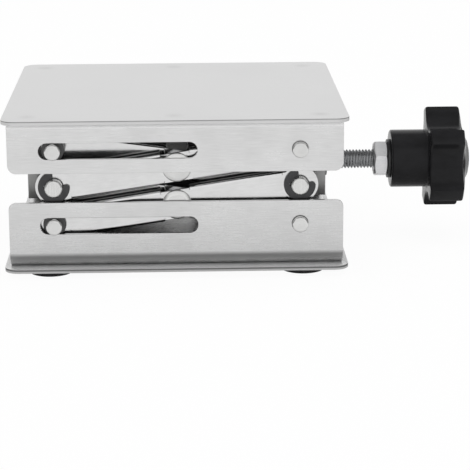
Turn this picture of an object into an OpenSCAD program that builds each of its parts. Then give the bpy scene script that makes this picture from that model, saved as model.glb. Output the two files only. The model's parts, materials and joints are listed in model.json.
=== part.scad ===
// Scissor lab jack: a square platform on two stacked X stages, raised by a
// hand knob on a lead screw. Units are millimetres. The origin is the centre
// of the base plate's underside, +Z is up and the knob points along +X.
// "Front" is the -Y side. The jack is drawn almost fully folded.

/* [Plates and feet] */
// Side of the square base and top plates
plate_size = 100; // [98:1:120]
// Thickness of the plates and channels
sheet = 1.2; // [1:0.1:1.4]
// Corner radius of the plates
plate_corner = 4.3; // [2:0.1:8]
// Height of the rubber feet below the base plate
foot_drop = 2; // [1:0.5:4]
// Diameter of a rubber foot
foot_d = 12.7; // [9:0.1:16]
// Distance of the foot centres from the middle, along X
foot_x = 37; // [32:0.5:38]
// Distance of the foot centres from the middle, along Y
foot_y = 40; // [30:1:40]

/* [Channels] */
// Length of both channels along X
channel_len = 96.6; // [94:0.2:98]
// Outer width of both channels along Y
channel_w = 96; // [95:0.5:96]
// Top edge of the lower channel above the base plate's underside
lower_flange_top = 20.5; // [18:0.1:20.6]
// Height of the upper channel's flanges
upper_flange_h = 14.4; // [14:0.1:15]
// Outer bend radius of the lower channel
lower_bend = 4.5; // [3:0.1:5]
// Outer bend radius of the upper channel
upper_bend = 1.5; // [1.4:0.1:3]

/* [Scissor links] */
// Distance between the two end pivots of every link
link_span = 71.9; // [70:0.1:74]
// Height of one X stage in the drawn position
stage_rise = 11; // [10.5:0.1:12]
// Distance of the fixed pivot column to the right of the centre
fixed_x = 35.8; // [34:0.1:38]
// Height of the lower pivots above the base plate's underside
pivot_z = 13.6; // [13:0.1:14]
// Distance from the upper pivots to the underside of the top plate
pivot_to_plate = 7.9; // [7.8:0.1:9]
// Width of a link between its turned edges
link_w = 9.5; // [9:0.1:9.6]
// Radius of a link's rounded ends
link_end_r = 5.4; // [5:0.1:5.5]
// Thickness of a link
link_t = 1; // [0.8:0.1:1]
// Depth of a link's turned edges, outer face to rim
lip_depth = 2.8; // [1.5:0.1:2.8]

/* [Rods, bars and rivets] */
// Diameter of the four cross rods
rod_d = 6.6; // [6:0.1:6.6]
// Diameter of the rod ends that turn or slide in the flanges
rod_end_d = 4.6; // [4:0.1:4.6]
// Width of the two middle cross bars
bar_w = 16; // [12:0.5:16]
// Height of the two middle cross bars
bar_h = 10; // [9:0.5:10]
// Diameter of the shoulders at the ends of the cross bars
bar_d = 9.5; // [8.5:0.5:9.5]
// Diameter of the cross bar journals
journal_d = 5.1; // [5:0.05:5.2]
// Head diameter of the centre rivets
rivet_head_d = 8.6; // [8:0.1:9]
// Shank diameter of the centre rivets
rivet_d = 5; // [4:0.1:5]

/* [Lead screw and knob] */
// Outer diameter of the lead screw thread
screw_d = 5.9; // [5.5:0.1:5.9]
// Thread pitch
pitch = 1; // [1:0.25:1.5]
// Distance of the screw axis below the middle pivots
screw_drop = 2.4; // [2:0.1:2.4]
// Radius over the tips of the knob's lobes
knob_r = 16; // [14:0.5:18]
// Number of lobes on the knob
knob_lobes = 5; // [5:1:7]
// Diameter of the knob's hub
hub_d = 17.9; // [15:0.1:18]

/* [Hidden] */
$fn = 64;

eps = 0.01;              // overshoot of a cutter past the face that it cuts
run_gap = 0.07;          // radial clearance of a turning fit
press_gap = 0.02;        // radial allowance of a pressed fit
side_gap = 0.1;          // side clearance between parts on one pin
rivet_bore_r = rivet_d / 2 + run_gap;
journal_bore_r = journal_d / 2 + run_gap;

// Scissor geometry at rest
link_angle = asin(stage_rise / link_span);
column_gap = link_span * cos(link_angle);
slide_x = fixed_x - column_gap;
centre_x = (fixed_x + slide_x) / 2;
mid_z = pivot_z + stage_rise;
top_pivot_z = pivot_z + 2 * stage_rise;
lower_rivet_z = pivot_z + stage_rise / 2;
upper_rivet_z = mid_z + stage_rise / 2;
top_plate_z = top_pivot_z + pivot_to_plate;
screw_z = mid_z - screw_drop;

// Layers from the front face inward, as distances from the middle plane
flange_out = channel_w / 2;
flange_in = flange_out - sheet;
outer_face = 45.2;                          // outer face of the outer arms
inner_face = outer_face - lip_depth - 1.4;  // outer face of the inner arms
bar_half = inner_face - link_t - 0.3;       // half length up to a bar's journals

// Slots for the sliding rods
slot_w = rod_end_d + 0.2;
slot_left = slide_x - 1.7;                  // centre of the left end
slot_right = 3.9;                           // centre of the right end
lip_from = 4.2;                             // the turned edges start here
lip_to = 31.5;                              // and end here, from the rivet
lip_bend = 1.2;                             // outer bend radius of the edges

// Retaining clips
clip_t = 0.7;
clip_y = outer_face + side_gap;
groove_r = 2;
clip_r = 4.6;
clip_mouth = [18, 92];                      // opening, from +X towards +Z

// Boss of the cross bars round the screw, and the thrust collars
bar_flat = inner_face - lip_depth - 0.4;    // half length of a bar's flat part
block_half_x = 7;
block_half_y = 8;
block_below = 6.4;
collar_r = 5;
collar_w = 2.8;
collar_gap = 0.2;
collar_pin_r = 0.75;

// Stations along the screw axis
screw_start = -41.4;
nut_start = 61.6;
nut_w = 4.1;
insert_start = nut_start + nut_w;
hub_start = insert_start + 1;
head_start = 78;
head_end = 89;
dome_end = 90.8;
cap_end = 91.2;
screw_end = 76;
thread_depth = 0.5;
lobe_offset = 107.6;                        // angle of the first lobe
nut_turn = 42;                              // angle of the nut's first corner

steel = [0.80, 0.81, 0.82];
bright = [0.86, 0.86, 0.85];
black_steel = [0.20, 0.20, 0.21];
black_plastic = [0.10, 0.10, 0.11];
rubber = [0.06, 0.06, 0.06];

// ---- shared shapes ----

// Cylinder along Y that starts at y and is len long
module y_cylinder(r, y, len) {
    translate([0, y + len, 0])
        rotate([90, 0, 0])
            cylinder(r = r, h = len);
}

// Cylinder along X that starts at x and is len long
module x_cylinder(r, x, len) {
    translate([x, 0, 0])
        rotate([0, 90, 0])
            cylinder(r = r, h = len);
}

// Children turned about Y from the axis of a revolved outline
module along_y() {
    rotate([-90, 0, 0]) children();
}

// Children, and their copy on the rear side
module both_sides() {
    children();
    mirror([0, 1, 0]) children();
}

// Front children as they are, rear ones mirrored
module on_side(rear) {
    mirror([0, rear ? 1 : 0, 0]) children();
}

// Square plate with rounded corners, underside at z = 0
module rounded_plate(size, corner, t) {
    inset = size / 2 - corner;
    union() {
        translate([-size / 2, -inset, 0])
            cube([size, 2 * inset, t]);
        translate([-inset, -size / 2, 0])
            cube([2 * inset, size, t]);
        for (sx = [-1, 1], sy = [-1, 1])
            translate([sx * inset, sy * inset, 0])
                cylinder(r = corner, h = t);
    }
}

// Solid bar along X, flat on top, with its two lower long edges rounded
module round_bottom_bar(len, w, h, r) {
    translate([-len / 2, -w / 2, r])
        cube([len, w, h - r]);
    translate([-len / 2, -w / 2 + r, 0])
        cube([len, w - 2 * r, h]);
    for (side = [-1, 1])
        translate([0, side * (w / 2 - r), r])
            x_cylinder(r, -len / 2, len);
}

// Bent sheet channel along X, open at the top, web at z = 0
module bent_channel(len, w, h, t, bend) {
    difference() {
        round_bottom_bar(len, w, h, bend);
        translate([0, 0, t])
            round_bottom_bar(len + 2, w - 2 * t, h, bend - t);
    }
}

// Cutters that round the free corners of a channel's flanges
module flange_corners(len, w, h, r) {
    for (side = [-1, 1])
        difference() {
            translate([side * (len / 2 - r / 2) - (r + 2) / 2 + side, -w / 2 - 1, h - r])
                cube([r + 2, w + 2, r + 1]);
            translate([side * (len / 2 - r), 0, h - r])
                y_cylinder(r, -w / 2 - 2, w + 4);
        }
}

// Slot along X with round ends, cut through everything along Y
module slot_cut(from_x, to_x, z, w) {
    translate([0, 0, z]) {
        translate([from_x, -channel_w, -w / 2])
            cube([to_x - from_x, 2 * channel_w, w]);
        translate([from_x, 0, 0])
            y_cylinder(w / 2, -channel_w, 2 * channel_w);
        translate([to_x, 0, 0])
            y_cylinder(w / 2, -channel_w, 2 * channel_w);
    }
}

// Slot on the left and round hole on the right for the rod ends
module pivot_cuts(z) {
    slot_cut(slot_left, slot_right, z, slot_w);
    translate([fixed_x, 0, z])
        y_cylinder(rod_end_d / 2 + run_gap, -channel_w, 2 * channel_w);
}

// ---- base and platform ----

// Base plate with four holes for the foot stems
module base_plate() {
    color(steel)
        difference() {
            rounded_plate(plate_size, plate_corner, sheet);
            foot_holes();
        }
}

// Lower channel, spot welded to the base plate
module lower_channel() {
    h = lower_flange_top - sheet;
    color(steel)
        difference() {
            translate([0, 0, sheet])
                difference() {
                    bent_channel(channel_len, channel_w, h, sheet, lower_bend);
                    flange_corners(channel_len, channel_w, h, 2);
                }
            pivot_cuts(pivot_z);
            foot_holes();
        }
}

// Holes of the foot stems through plate and channel
module foot_holes() {
    for (sx = [-1, 1], sy = [-1, 1])
        translate([sx * foot_x, sy * foot_y, -1])
            cylinder(r = 2 + press_gap, h = 2 * sheet + 2);
}

// Rubber foot: pad below the plate, stem and snap head above
module foot(sx, sy) {
    color(rubber)
        translate([sx * foot_x, sy * foot_y, 0])
            rotate_extrude()
                polygon([
                    [0, -foot_drop], [foot_d / 2 - 0.5, -foot_drop],
                    [foot_d / 2, -foot_drop + 0.5], [foot_d / 2, 0],
                    [2, 0], [2, 2 * sheet], [3.2, 2 * sheet],
                    [2.2, 2 * sheet + 1], [0, 2 * sheet + 1]
                ]);
}

// Upper channel, open downward, spot welded to the top plate
module upper_channel() {
    color(steel)
        difference() {
            translate([0, 0, top_plate_z])
                mirror([0, 0, 1])
                    difference() {
                        bent_channel(channel_len, channel_w, upper_flange_h, sheet, upper_bend);
                        flange_corners(channel_len, channel_w, upper_flange_h, 2.5);
                    }
            pivot_cuts(top_pivot_z);
        }
}

// Top plate that carries the load
module top_plate() {
    color(bright)
        translate([0, 0, top_plate_z])
            rounded_plate(plate_size, plate_corner, sheet);
}

// ---- scissor links ----

// Flat outline of a link with its three holes, outer face at y = 0
module arm_plate(rod_side) {
    half = link_span / 2;
    flat_w = link_w - lip_bend;
    difference() {
        union() {
            translate([-half, 0, -flat_w / 2])
                cube([link_span, link_t, flat_w]);
            for (side = [-1, 1])
                translate([side * half, 0, 0])
                    y_cylinder(link_end_r, 0, link_t);
        }
        y_cylinder(rivet_bore_r, -1, link_t + 2);
        translate([rod_side * half, 0, 0])
            y_cylinder(rod_d / 2 + press_gap, -1, link_t + 2);
        translate([-rod_side * half, 0, 0])
            y_cylinder(journal_bore_r, -1, link_t + 2);
    }
}

// One pressed link: flat plate with turned edges on both halves
module arm(rod_side) {
    lip_len = lip_to - lip_from;
    union() {
        arm_plate(rod_side);
        for (side = [-1, 1])
            translate([side * (lip_from + lip_to) / 2, 0, 0])
                rotate([-90, 0, 0])
                    bent_channel(lip_len, link_w, lip_depth, link_t, lip_bend);
    }
}

// Link in place: layer is the distance of its outer face from the middle
module placed_arm(layer, z, slope, rod_side, rear) {
    color(bright)
        on_side(rear)
            translate([centre_x, -layer, z])
                rotate([0, -slope * link_angle, 0])
                    arm(rod_side);
}

// Cross rod with thinner ends that reach through the flanges
module cross_rod(x, z) {
    end_y = flange_out + 1.9;
    color(bright)
        translate([x, 0, z]) {
            union() {
                y_cylinder(rod_d / 2, -flange_in + 0.3, 2 * flange_in - 0.6);
                y_cylinder(rod_end_d / 2, -end_y + 0.3, 2 * end_y - 0.6);
                both_sides()
                    along_y()
                        translate([0, 0, end_y - 0.3])
                            cylinder(r1 = rod_end_d / 2, r2 = rod_end_d / 2 - 0.3, h = 0.3);
            }
        }
}

// Centre rivet with a shaped head outside and an upset head inside
module centre_rivet(z, rear) {
    head_r = rivet_head_d / 2;
    outside = -outer_face - side_gap / 2;
    inside = -inner_face + link_t + side_gap / 2;
    color(bright)
        on_side(rear)
            translate([centre_x, 0, z])
                along_y()
                    rotate_extrude()
                        polygon([
                            [0, outside - 1.1], [head_r - 0.6, outside - 1.1],
                            [head_r - 0.15, outside - 0.8], [head_r, outside - 0.4],
                            [head_r, outside], [rivet_d / 2, outside],
                            [rivet_d / 2, inside], [4, inside],
                            [3.6, inside + 0.8], [0, inside + 0.8]
                        ]);
}

// Rings that keep the inner and outer links apart, front and rear
module spacer_rings(x, z, bore_r, ring_r) {
    from_y = inner_face + side_gap / 2;
    width = outer_face - link_t - inner_face - side_gap;
    color(steel)
        both_sides()
            translate([x, 0, z])
                difference() {
                    y_cylinder(ring_r, -from_y - width, width);
                    y_cylinder(bore_r, -from_y - width - 1, width + 2);
                }
}

// ---- middle cross bars ----

// Cross bar: flat bar with round shoulders, a drilled boss and grooved journals
module cross_bar(x) {
    end_y = outer_face + 3.1;
    journal_r = journal_d / 2;
    color(bright)
        translate([x, 0, mid_z])
            difference() {
                union() {
                    y_cylinder(bar_d / 2, -bar_half, 2 * bar_half);
                    translate([-bar_w / 2, -bar_flat, -bar_h / 2])
                        cube([bar_w, 2 * bar_flat, bar_h]);
                    y_cylinder(journal_r, -end_y + 0.4, 2 * end_y - 0.8);
                    both_sides()
                        along_y()
                            translate([0, 0, end_y - 0.4])
                                cylinder(r1 = journal_r, r2 = journal_r - 0.4, h = 0.4);
                    translate([-block_half_x, -block_half_y, -block_below])
                        cube([2 * block_half_x, 2 * block_half_y, block_below]);
                }
                both_sides()
                    difference() {
                        y_cylinder(journal_r + 1, clip_y - 0.05, clip_t + 0.1);
                        y_cylinder(groove_r, clip_y - 1, clip_t + 2);
                    }
                translate([0, 0, -screw_drop])
                    x_cylinder(screw_d / 2 + 0.1, -bar_w, 2 * bar_w);
            }
}

// Spring steel retaining clip with an open mouth and two relief notches
module retaining_clip(x, rear) {
    mouth_r = 2 * clip_r;
    color(black_steel)
        on_side(rear)
            translate([x, 0, mid_z])
                difference() {
                    y_cylinder(clip_r, -clip_y - clip_t, clip_t);
                    y_cylinder(groove_r + press_gap, -clip_y - clip_t - 1, clip_t + 2);
                    for (turn = [175, 290])
                        rotate([0, -turn, 0])
                            translate([groove_r + 0.3, 0, 0])
                                y_cylinder(0.8, -clip_y - clip_t - 1, clip_t + 2);
                    translate([0, -clip_y + 1, 0])
                        rotate([90, 0, 0])
                            linear_extrude(height = clip_t + 2)
                                polygon([
                                    [0, 0],
                                    mouth_r * [cos(clip_mouth[0]), sin(clip_mouth[0])],
                                    mouth_r * [cos(clip_mouth[1]), sin(clip_mouth[1])]
                                ]);
                }
}

// ---- lead screw and knob ----

// Children placed on the screw axis
module on_screw_axis() {
    translate([0, 0, screw_z]) children();
}

// Threaded rod: one ridge per pitch up to the nut, plain inside the knob
module lead_screw() {
    r = screw_d / 2;
    root = r - thread_depth;
    turns = floor((insert_start - screw_start - 2 * thread_depth) / pitch);
    first = screw_start + thread_depth;
    ridges = [for (i = [0 : turns - 1], p = [
            [root, first + i * pitch + 0.1 * pitch],
            [r, first + i * pitch + 0.45 * pitch],
            [r, first + i * pitch + 0.6 * pitch],
            [root, first + i * pitch + 0.95 * pitch]
        ]) p];
    color(steel)
        on_screw_axis()
            difference() {
                rotate([0, 90, 0])
                    rotate_extrude()
                        polygon(concat(
                            [[0, screw_start], [root - 0.4, screw_start]],
                            ridges,
                            [[root, screw_end - 0.5], [root - 0.4, screw_end], [0, screw_end]]
                        ));
                collar_pin_holes();
            }
}

// Cross holes of the collar pins
module collar_pin_holes() {
    for (x = [inner_collar_x(), outer_collar_x()])
        translate([x + collar_w / 2, 0, -2 * collar_r])
            cylinder(r = collar_pin_r + press_gap, h = 4 * collar_r);
}

// Left faces of the two collars that hold the screw in the right bar
function inner_collar_x() = fixed_x - bar_w / 2 - collar_gap - collar_w;
function outer_collar_x() = fixed_x + bar_w / 2 + collar_gap;

// Plain thrust collar on the screw
module thrust_collar(x) {
    color(steel)
        on_screw_axis()
            difference() {
                x_cylinder(collar_r, x, collar_w);
                x_cylinder(screw_d / 2 + press_gap, x - 1, collar_w + 2);
                collar_pin_holes();
            }
}

// Cross pins that lock both collars to the screw
module collar_pins() {
    color(steel)
        on_screw_axis()
            for (x = [inner_collar_x(), outer_collar_x()])
                translate([x + collar_w / 2, 0, -collar_r + 0.4])
                    cylinder(r = collar_pin_r, h = 2 * collar_r - 0.8);
}

// Hexagon nut with chamfered corners, tightened against the knob
module lock_nut() {
    across = 10;
    color(bright)
        on_screw_axis()
            difference() {
                intersection() {
                    translate([nut_start, 0, 0])
                        rotate([0, 90, 0])
                            rotate([0, 0, 90 + nut_turn])
                                cylinder(d = across / cos(30), h = nut_w, $fn = 6);
                    rotate([0, 90, 0])
                        rotate_extrude()
                            polygon([
                                [0, nut_start], [across / 2, nut_start],
                                [across / 2 + 1, nut_start + 0.6],
                                [across / 2 + 1, nut_start + nut_w - 0.6],
                                [across / 2, nut_start + nut_w], [0, nut_start + nut_w]
                            ]);
                }
                x_cylinder(screw_d / 2 + press_gap, nut_start - 1, nut_w + 2);
            }
}

// Flanged threaded insert moulded into the knob's hub
module threaded_insert() {
    color(black_steel)
        on_screw_axis()
            difference() {
                union() {
                    x_cylinder(6, insert_start, hub_start - insert_start);
                    x_cylinder(4.5, insert_start, screw_end - insert_start + 0.5);
                }
                x_cylinder(screw_d / 2 + press_gap, insert_start - 1, screw_end - insert_start + 2);
            }
}

// Star outline of the knob's head, extruded along X
module knob_star(len) {
    groove_r = 3 * knob_r / knob_lobes;
    groove_at = knob_r * 0.68 + groove_r;
    rotate([0, 90, 0])
        difference() {
            cylinder(r = knob_r, h = len);
            for (i = [0 : knob_lobes - 1])
                rotate([0, 0, lobe_turn() + (i + 0.5) * 360 / knob_lobes])
                    translate([groove_at, 0, -1])
                        cylinder(r = groove_r, h = len + 2);
        }
}

// Turn of the first lobe in the knob's own plane
function lobe_turn() = 270 - lobe_offset;

// Star knob: hub, lobed head with rounded rims and a shallow dome
module hand_knob() {
    dome_r = 5;
    color(black_plastic)
        on_screw_axis()
            difference() {
                union() {
                    x_cylinder(hub_d / 2, hub_start, head_start - hub_start + 1);
                    intersection() {
                        translate([head_start, 0, 0])
                            knob_star(dome_end - head_start);
                        rotate([0, 90, 0])
                            rotate_extrude()
                                polygon([
                                    [0, head_start], [knob_r - 0.8, head_start],
                                    [knob_r, head_start + 1], [knob_r, head_end - 0.6],
                                    [knob_r - 0.6, head_end], [dome_r + 4, head_end + 1],
                                    [dome_r, dome_end], [0, dome_end]
                                ]);
                    }
                }
                x_cylinder(4.5 + press_gap, hub_start - 1, screw_end + 0.5 - hub_start + 1 + press_gap);
                x_cylinder(4 + press_gap, dome_end - 1, 2);
            }
}

// Snap-in cap that closes the middle of the knob
module knob_cap() {
    color(black_plastic)
        on_screw_axis()
            x_cylinder(4, dome_end - 1 + press_gap, cap_end - dome_end + 1 - press_gap);
}

base_plate();
lower_channel();
foot(-1, -1);  // front_left_foot
foot(1, -1);  // front_right_foot
foot(-1, 1);  // rear_left_foot
foot(1, 1);  // rear_right_foot
placed_arm(inner_face, lower_rivet_z, -1, 1, false);  // lower_inner_front_arm
placed_arm(inner_face, lower_rivet_z, -1, 1, true);  // lower_inner_rear_arm
placed_arm(outer_face, lower_rivet_z, 1, -1, false);  // lower_outer_front_arm
placed_arm(outer_face, lower_rivet_z, 1, -1, true);  // lower_outer_rear_arm
placed_arm(inner_face, upper_rivet_z, -1, -1, false);  // upper_inner_front_arm
placed_arm(inner_face, upper_rivet_z, -1, -1, true);  // upper_inner_rear_arm
placed_arm(outer_face, upper_rivet_z, 1, 1, false);  // upper_outer_front_arm
placed_arm(outer_face, upper_rivet_z, 1, 1, true);  // upper_outer_rear_arm
cross_rod(fixed_x, pivot_z);  // lower_fixed_rod
cross_rod(slide_x, pivot_z);  // lower_slide_rod
cross_rod(fixed_x, top_pivot_z);  // upper_fixed_rod
cross_rod(slide_x, top_pivot_z);  // upper_slide_rod
centre_rivet(lower_rivet_z, false);  // lower_front_rivet
centre_rivet(lower_rivet_z, true);  // lower_rear_rivet
centre_rivet(upper_rivet_z, false);  // upper_front_rivet
centre_rivet(upper_rivet_z, true);  // upper_rear_rivet
spacer_rings(centre_x, lower_rivet_z, rivet_bore_r, 3.8);  // lower_rivet_spacers
spacer_rings(centre_x, upper_rivet_z, rivet_bore_r, 3.8);  // upper_rivet_spacers
cross_bar(slide_x);  // left_cross_bar
cross_bar(fixed_x);  // right_cross_bar
spacer_rings(slide_x, mid_z, journal_bore_r, 4);  // left_bar_spacers
spacer_rings(fixed_x, mid_z, journal_bore_r, 4);  // right_bar_spacers
retaining_clip(slide_x, false);  // left_front_clip
retaining_clip(slide_x, true);  // left_rear_clip
retaining_clip(fixed_x, false);  // right_front_clip
retaining_clip(fixed_x, true);  // right_rear_clip
lead_screw();
thrust_collar(inner_collar_x());  // inner_thrust_collar
thrust_collar(outer_collar_x());  // outer_thrust_collar
collar_pins();
lock_nut();
threaded_insert();
hand_knob();
knob_cap();
upper_channel();
top_plate();
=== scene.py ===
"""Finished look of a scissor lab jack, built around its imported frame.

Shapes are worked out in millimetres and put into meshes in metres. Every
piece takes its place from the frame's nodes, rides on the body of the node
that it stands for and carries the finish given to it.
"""
import json
import math

import bmesh
import bpy
import numpy as np
from mathutils import Matrix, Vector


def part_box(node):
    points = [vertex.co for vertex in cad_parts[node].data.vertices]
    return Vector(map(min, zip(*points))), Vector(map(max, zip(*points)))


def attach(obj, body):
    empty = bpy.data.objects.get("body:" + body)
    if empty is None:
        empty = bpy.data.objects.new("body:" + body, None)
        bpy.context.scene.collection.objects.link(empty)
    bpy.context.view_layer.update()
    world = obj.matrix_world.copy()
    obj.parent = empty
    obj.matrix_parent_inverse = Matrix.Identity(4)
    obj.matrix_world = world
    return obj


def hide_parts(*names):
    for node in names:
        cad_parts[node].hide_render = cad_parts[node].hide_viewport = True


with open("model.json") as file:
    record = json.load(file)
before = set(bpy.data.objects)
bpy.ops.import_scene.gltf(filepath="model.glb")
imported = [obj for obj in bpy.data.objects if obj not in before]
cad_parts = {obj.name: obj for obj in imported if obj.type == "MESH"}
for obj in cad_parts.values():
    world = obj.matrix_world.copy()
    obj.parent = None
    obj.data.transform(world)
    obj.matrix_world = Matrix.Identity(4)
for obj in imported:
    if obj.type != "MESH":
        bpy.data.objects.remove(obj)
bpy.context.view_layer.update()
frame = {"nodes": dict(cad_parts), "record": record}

bl_info = {
    "name": "Lab Jack",
    "version": (1, 0, 0),
    "blender": (4, 5, 0),
    "location": "3D View > Sidebar > Lab Jack",
    "description": "Builds a small scissor lab jack piece by piece",
    "category": "Add Mesh",
}

MM = 0.001
WELD = 1e-4                  # points closer than this, in mm, are one
RIGHT_ANGLE = math.pi / 2

BODY_OF = {
    node: body
    for body, nodes in frame["record"]["behaviour"]["bodies"].items()
    for node in nodes
}


# ---- sizes and colours that a user may change ----

def length(name, millimetres, description):
    """A size property, stated in millimetres and held in metres."""
    return bpy.props.FloatProperty(
        name=name, description=description, default=millimetres * MM,
        min=0.0, precision=5, unit="LENGTH")


def linear(hex_colour):
    """sRGB hex colour as linear red, green and blue."""
    code = np.array([int(hex_colour[k:k + 2], 16) for k in (1, 3, 5)]) / 255
    return tuple(np.where(code <= 0.04045, code / 12.92, ((code + 0.055) / 1.055) ** 2.4))


def tint(name, hex_colour, description):
    """A colour property, stated as sRGB hex and held as linear values."""
    return bpy.props.FloatVectorProperty(
        name=name, description=description, default=linear(hex_colour),
        subtype="COLOR", size=3, min=0.0, max=1.0)


class JackSizes(bpy.types.PropertyGroup):
    """Sizes of the sheet parts, links, screw and knob."""
    sheet: length("Sheet", 1.2, "Thickness of plates and channels")
    plate_corner: length("Plate corner", 4.3, "Corner radius of the plates")
    rim: length("Deburred rim", 0.16, "Rounding along the sheared edges of the plates")
    channel_rim: length("Channel rim", 0.1, "Rounding along the edges of the channels")
    lower_bend: length("Lower bend", 4.5, "Outer bend radius of the lower channel")
    upper_bend: length("Upper bend", 1.5, "Outer bend radius of the upper channel")
    lower_flange_corner: length("Lower flange corner", 2.0, "Free corner radius")
    upper_flange_corner: length("Upper flange corner", 2.5, "Free corner radius")
    slot_overrun: length("Slot overrun", 1.7, "Slot centre beyond the folded sliding rod")
    slot_far: length("Slot far end", 3.9, "Centre of the slot's far end, from the middle")
    slot_width: length("Slot width", 4.8, "Width of the slots")
    pivot_hole: length("Pivot hole", 4.74, "Diameter of the round flange holes")
    foot_hole: length("Foot hole", 4.04, "Diameter of the holes for the foot stems")
    link_sheet: length("Link sheet", 1.0, "Thickness of the pressed links")
    link_flat: length("Link flat half", 3.55, "Half width of a link's flat between its bends")
    link_bend: length("Link bend", 1.2, "Outer bend radius of a link's turned edges")
    link_lip: length("Link lip", 2.8, "Depth of a link's turned edges")
    link_relief: length("Link relief half", 4.15, "Half width where a link is left flat")
    link_end: length("Link end", 5.4, "Radius of a link's round ends")
    rivet_hole: length("Rivet hole", 5.14, "Diameter of the rivet hole in a link")
    rod_hole: length("Rod hole", 6.64, "Diameter of the hole that grips a cross rod")
    journal_hole: length("Journal hole", 5.6, "Diameter of the hole on a bar journal")
    clip_groove: length("Clip bore", 4.04, "Inner diameter of the retaining clips")
    thread_pitch: length("Thread pitch", 1.0, "Pitch of the lead screw")
    thread_depth: length("Thread depth", 0.52, "Depth of the lead screw's thread")
    nut_flats: length("Nut flats", 10.0, "Width of the lock nut across its flats")
    knob_radius: length("Knob radius", 16.0, "Radius over the lobes")
    hub_radius: length("Hub radius", 8.95, "Radius of the knob's hub")


class JackFinishes(bpy.types.PropertyGroup):
    """Colours of the finishes."""
    sheet_pale: tint("Sheet, light", "#D6D6D6", "Light tone of the satin sheet")
    sheet_dark: tint("Sheet, dark", "#CFCFCF", "Dark tone of the satin sheet")
    # Painted light: a pale colour for the platform's underside and for the upper channel's bends that
    # look up, in the shade under the platform's overhang.
    painted_light: tint("Painted light", "#EEEEEE", "Underside of the platform and its bends")
    rolled_pale: tint("Rolled sheet, light", "#F2F2F2", "Light tone of the base plate")
    rolled_dark: tint("Rolled sheet, dark", "#E6E6E6", "Dark tone of the base plate")
    base_edge_pale: tint("Base edge, light", "#BEBEBE", "Lower part of the base plate's edge")
    base_edge_dark: tint("Base edge, dark", "#6E6E6E", "Upper part of the base plate's edge")
    sheared_pale: tint("Sheared edge, light", "#D8D8D8", "Lower part of a plate's edge")
    # Painted reflection: the dark tone stands in for the dark surroundings reflected along a plate's
    # upper rim.
    painted_dark_rim: tint("Sheared edge, dark", "#949494", "Upper rim of a plate's edge")
    channel_pale: tint("Channel, light", "#E4E4E4", "Light tone of the brushed channels")
    channel_dark: tint("Channel, dark", "#D4D4D4", "Dark tone of the brushed channels")
    # Painted shade: a dark colour for faces inside the jack and between its parts, where shade falls.
    painted_shade: tint("Painted shade", "#545454", "Dull inner faces of channels and links")
    link_pale: tint("Link, light", "#E4E4E4", "Light tone of the pressed links")
    link_dark: tint("Link, dark", "#D6D6D6", "Dark tone of the pressed links")
    turned_pale: tint("Turned, light", "#E4E4E3", "Light tone of the turned steel")
    turned_dark: tint("Turned, dark", "#D2D2D1", "Dark tone of the turned steel")
    zinc_pale: tint("Zinc, light", "#F6F6F7", "Light tone of the zinc plating")
    zinc_dark: tint("Zinc, dark", "#E8E8EA", "Dark tone of the zinc plating")
    thread_pale: tint("Thread, light", "#BDBEBF", "Light tone of the oiled screw")
    thread_dark: tint("Thread, dark", "#9FA0A2", "Dark tone of the oiled screw")
    oxide: tint("Black oxide", "#424243", "Tone of the oiled black oxide")
    oxide_worn: tint("Black oxide, worn", "#525253", "Tone of rubbed black oxide")
    phenolic: tint("Black phenolic", "#202021", "Body of the moulded knob")
    phenolic_pale: tint("Black phenolic, light", "#28282A", "Paler flow marks of the knob")
    rubber: tint("Rubber", "#141415", "Tone of the feet")
    rubber_dusty: tint("Rubber, dusty", "#1E1E1E", "Dust on the feet")
    floor: tint("Floor", "#F4F4F4", "Colour of the studio floor")


def size(name):
    """A size in millimetres."""
    return getattr(bpy.context.scene.jack_sizes, name) / MM


def colour(name):
    """A finish colour with full alpha."""
    return (*getattr(bpy.context.scene.jack_finishes, name), 1.0)


def corners(node):
    """Lowest and highest corner of a frame node, in millimetres."""
    low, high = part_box(node)
    return np.array(low) / MM, np.array(high) / MM


def middle(node):
    """Centre of a frame node, in millimetres."""
    low, high = corners(node)
    return (low + high) / 2


# ---- surfaces ----

def quads_of(grid, first=0):
    """Corner numbers of every cell of a grid of points, numbered from first."""
    rows, columns = grid.shape[:2]
    at = first + np.arange(rows * columns).reshape(rows, columns)
    return np.stack([at[:-1, :-1], at[1:, :-1], at[1:, 1:], at[:-1, 1:]], -1).reshape(-1, 4)


def weld(points, quads):
    """Numbers points that lie in the same tiny cell of space as one."""
    cells = np.floor(points / WELD + 0.37).astype(np.int64)
    _, kept, renumbered = np.unique(cells, axis=0, return_index=True, return_inverse=True)
    return points[kept], renumbered.reshape(-1)[quads]


def join(cells):
    """Welds grids into one surface. A cell is a grid, or a grid and a mask of its quads."""
    points, quads, first = [], [], 0
    for cell in cells:
        grid, keep = cell if isinstance(cell, tuple) else (cell, None)
        numbers = quads_of(grid, first)
        quads.append(numbers if keep is None else numbers[keep.reshape(-1)])
        points.append(grid.reshape(-1, grid.shape[-1]))
        first += len(points[-1])
    points, quads = weld(np.concatenate(points), np.concatenate(quads))
    used, quads = np.unique(quads, return_inverse=True)
    return points[used], quads.reshape(-1, 4)


WINDOW = 4.6                 # half side of the grid window round a hole, in mm


def fan(count=12):
    """Offsets whose lines to a point one window margin away are at equal angles."""
    return WINDOW * np.tan(np.linspace(-math.pi / 4, math.pi / 4, count + 1))


def ring(loop, left, right, across, radius):
    """Rings between a closed loop and a slot inside it: every loop point is drawn
    towards the nearest point of the slot's centre line until radius away from it."""
    core = np.stack([np.clip(loop[:, 0], left, right), np.full(len(loop), across)], -1)
    outward = loop - core
    hole = core + radius * outward / np.linalg.norm(outward, axis=1, keepdims=True)
    share = np.array([0.0, 0.22, 0.6, 1.0])[:, None, None]
    return hole + (loop - hole) * share


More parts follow.
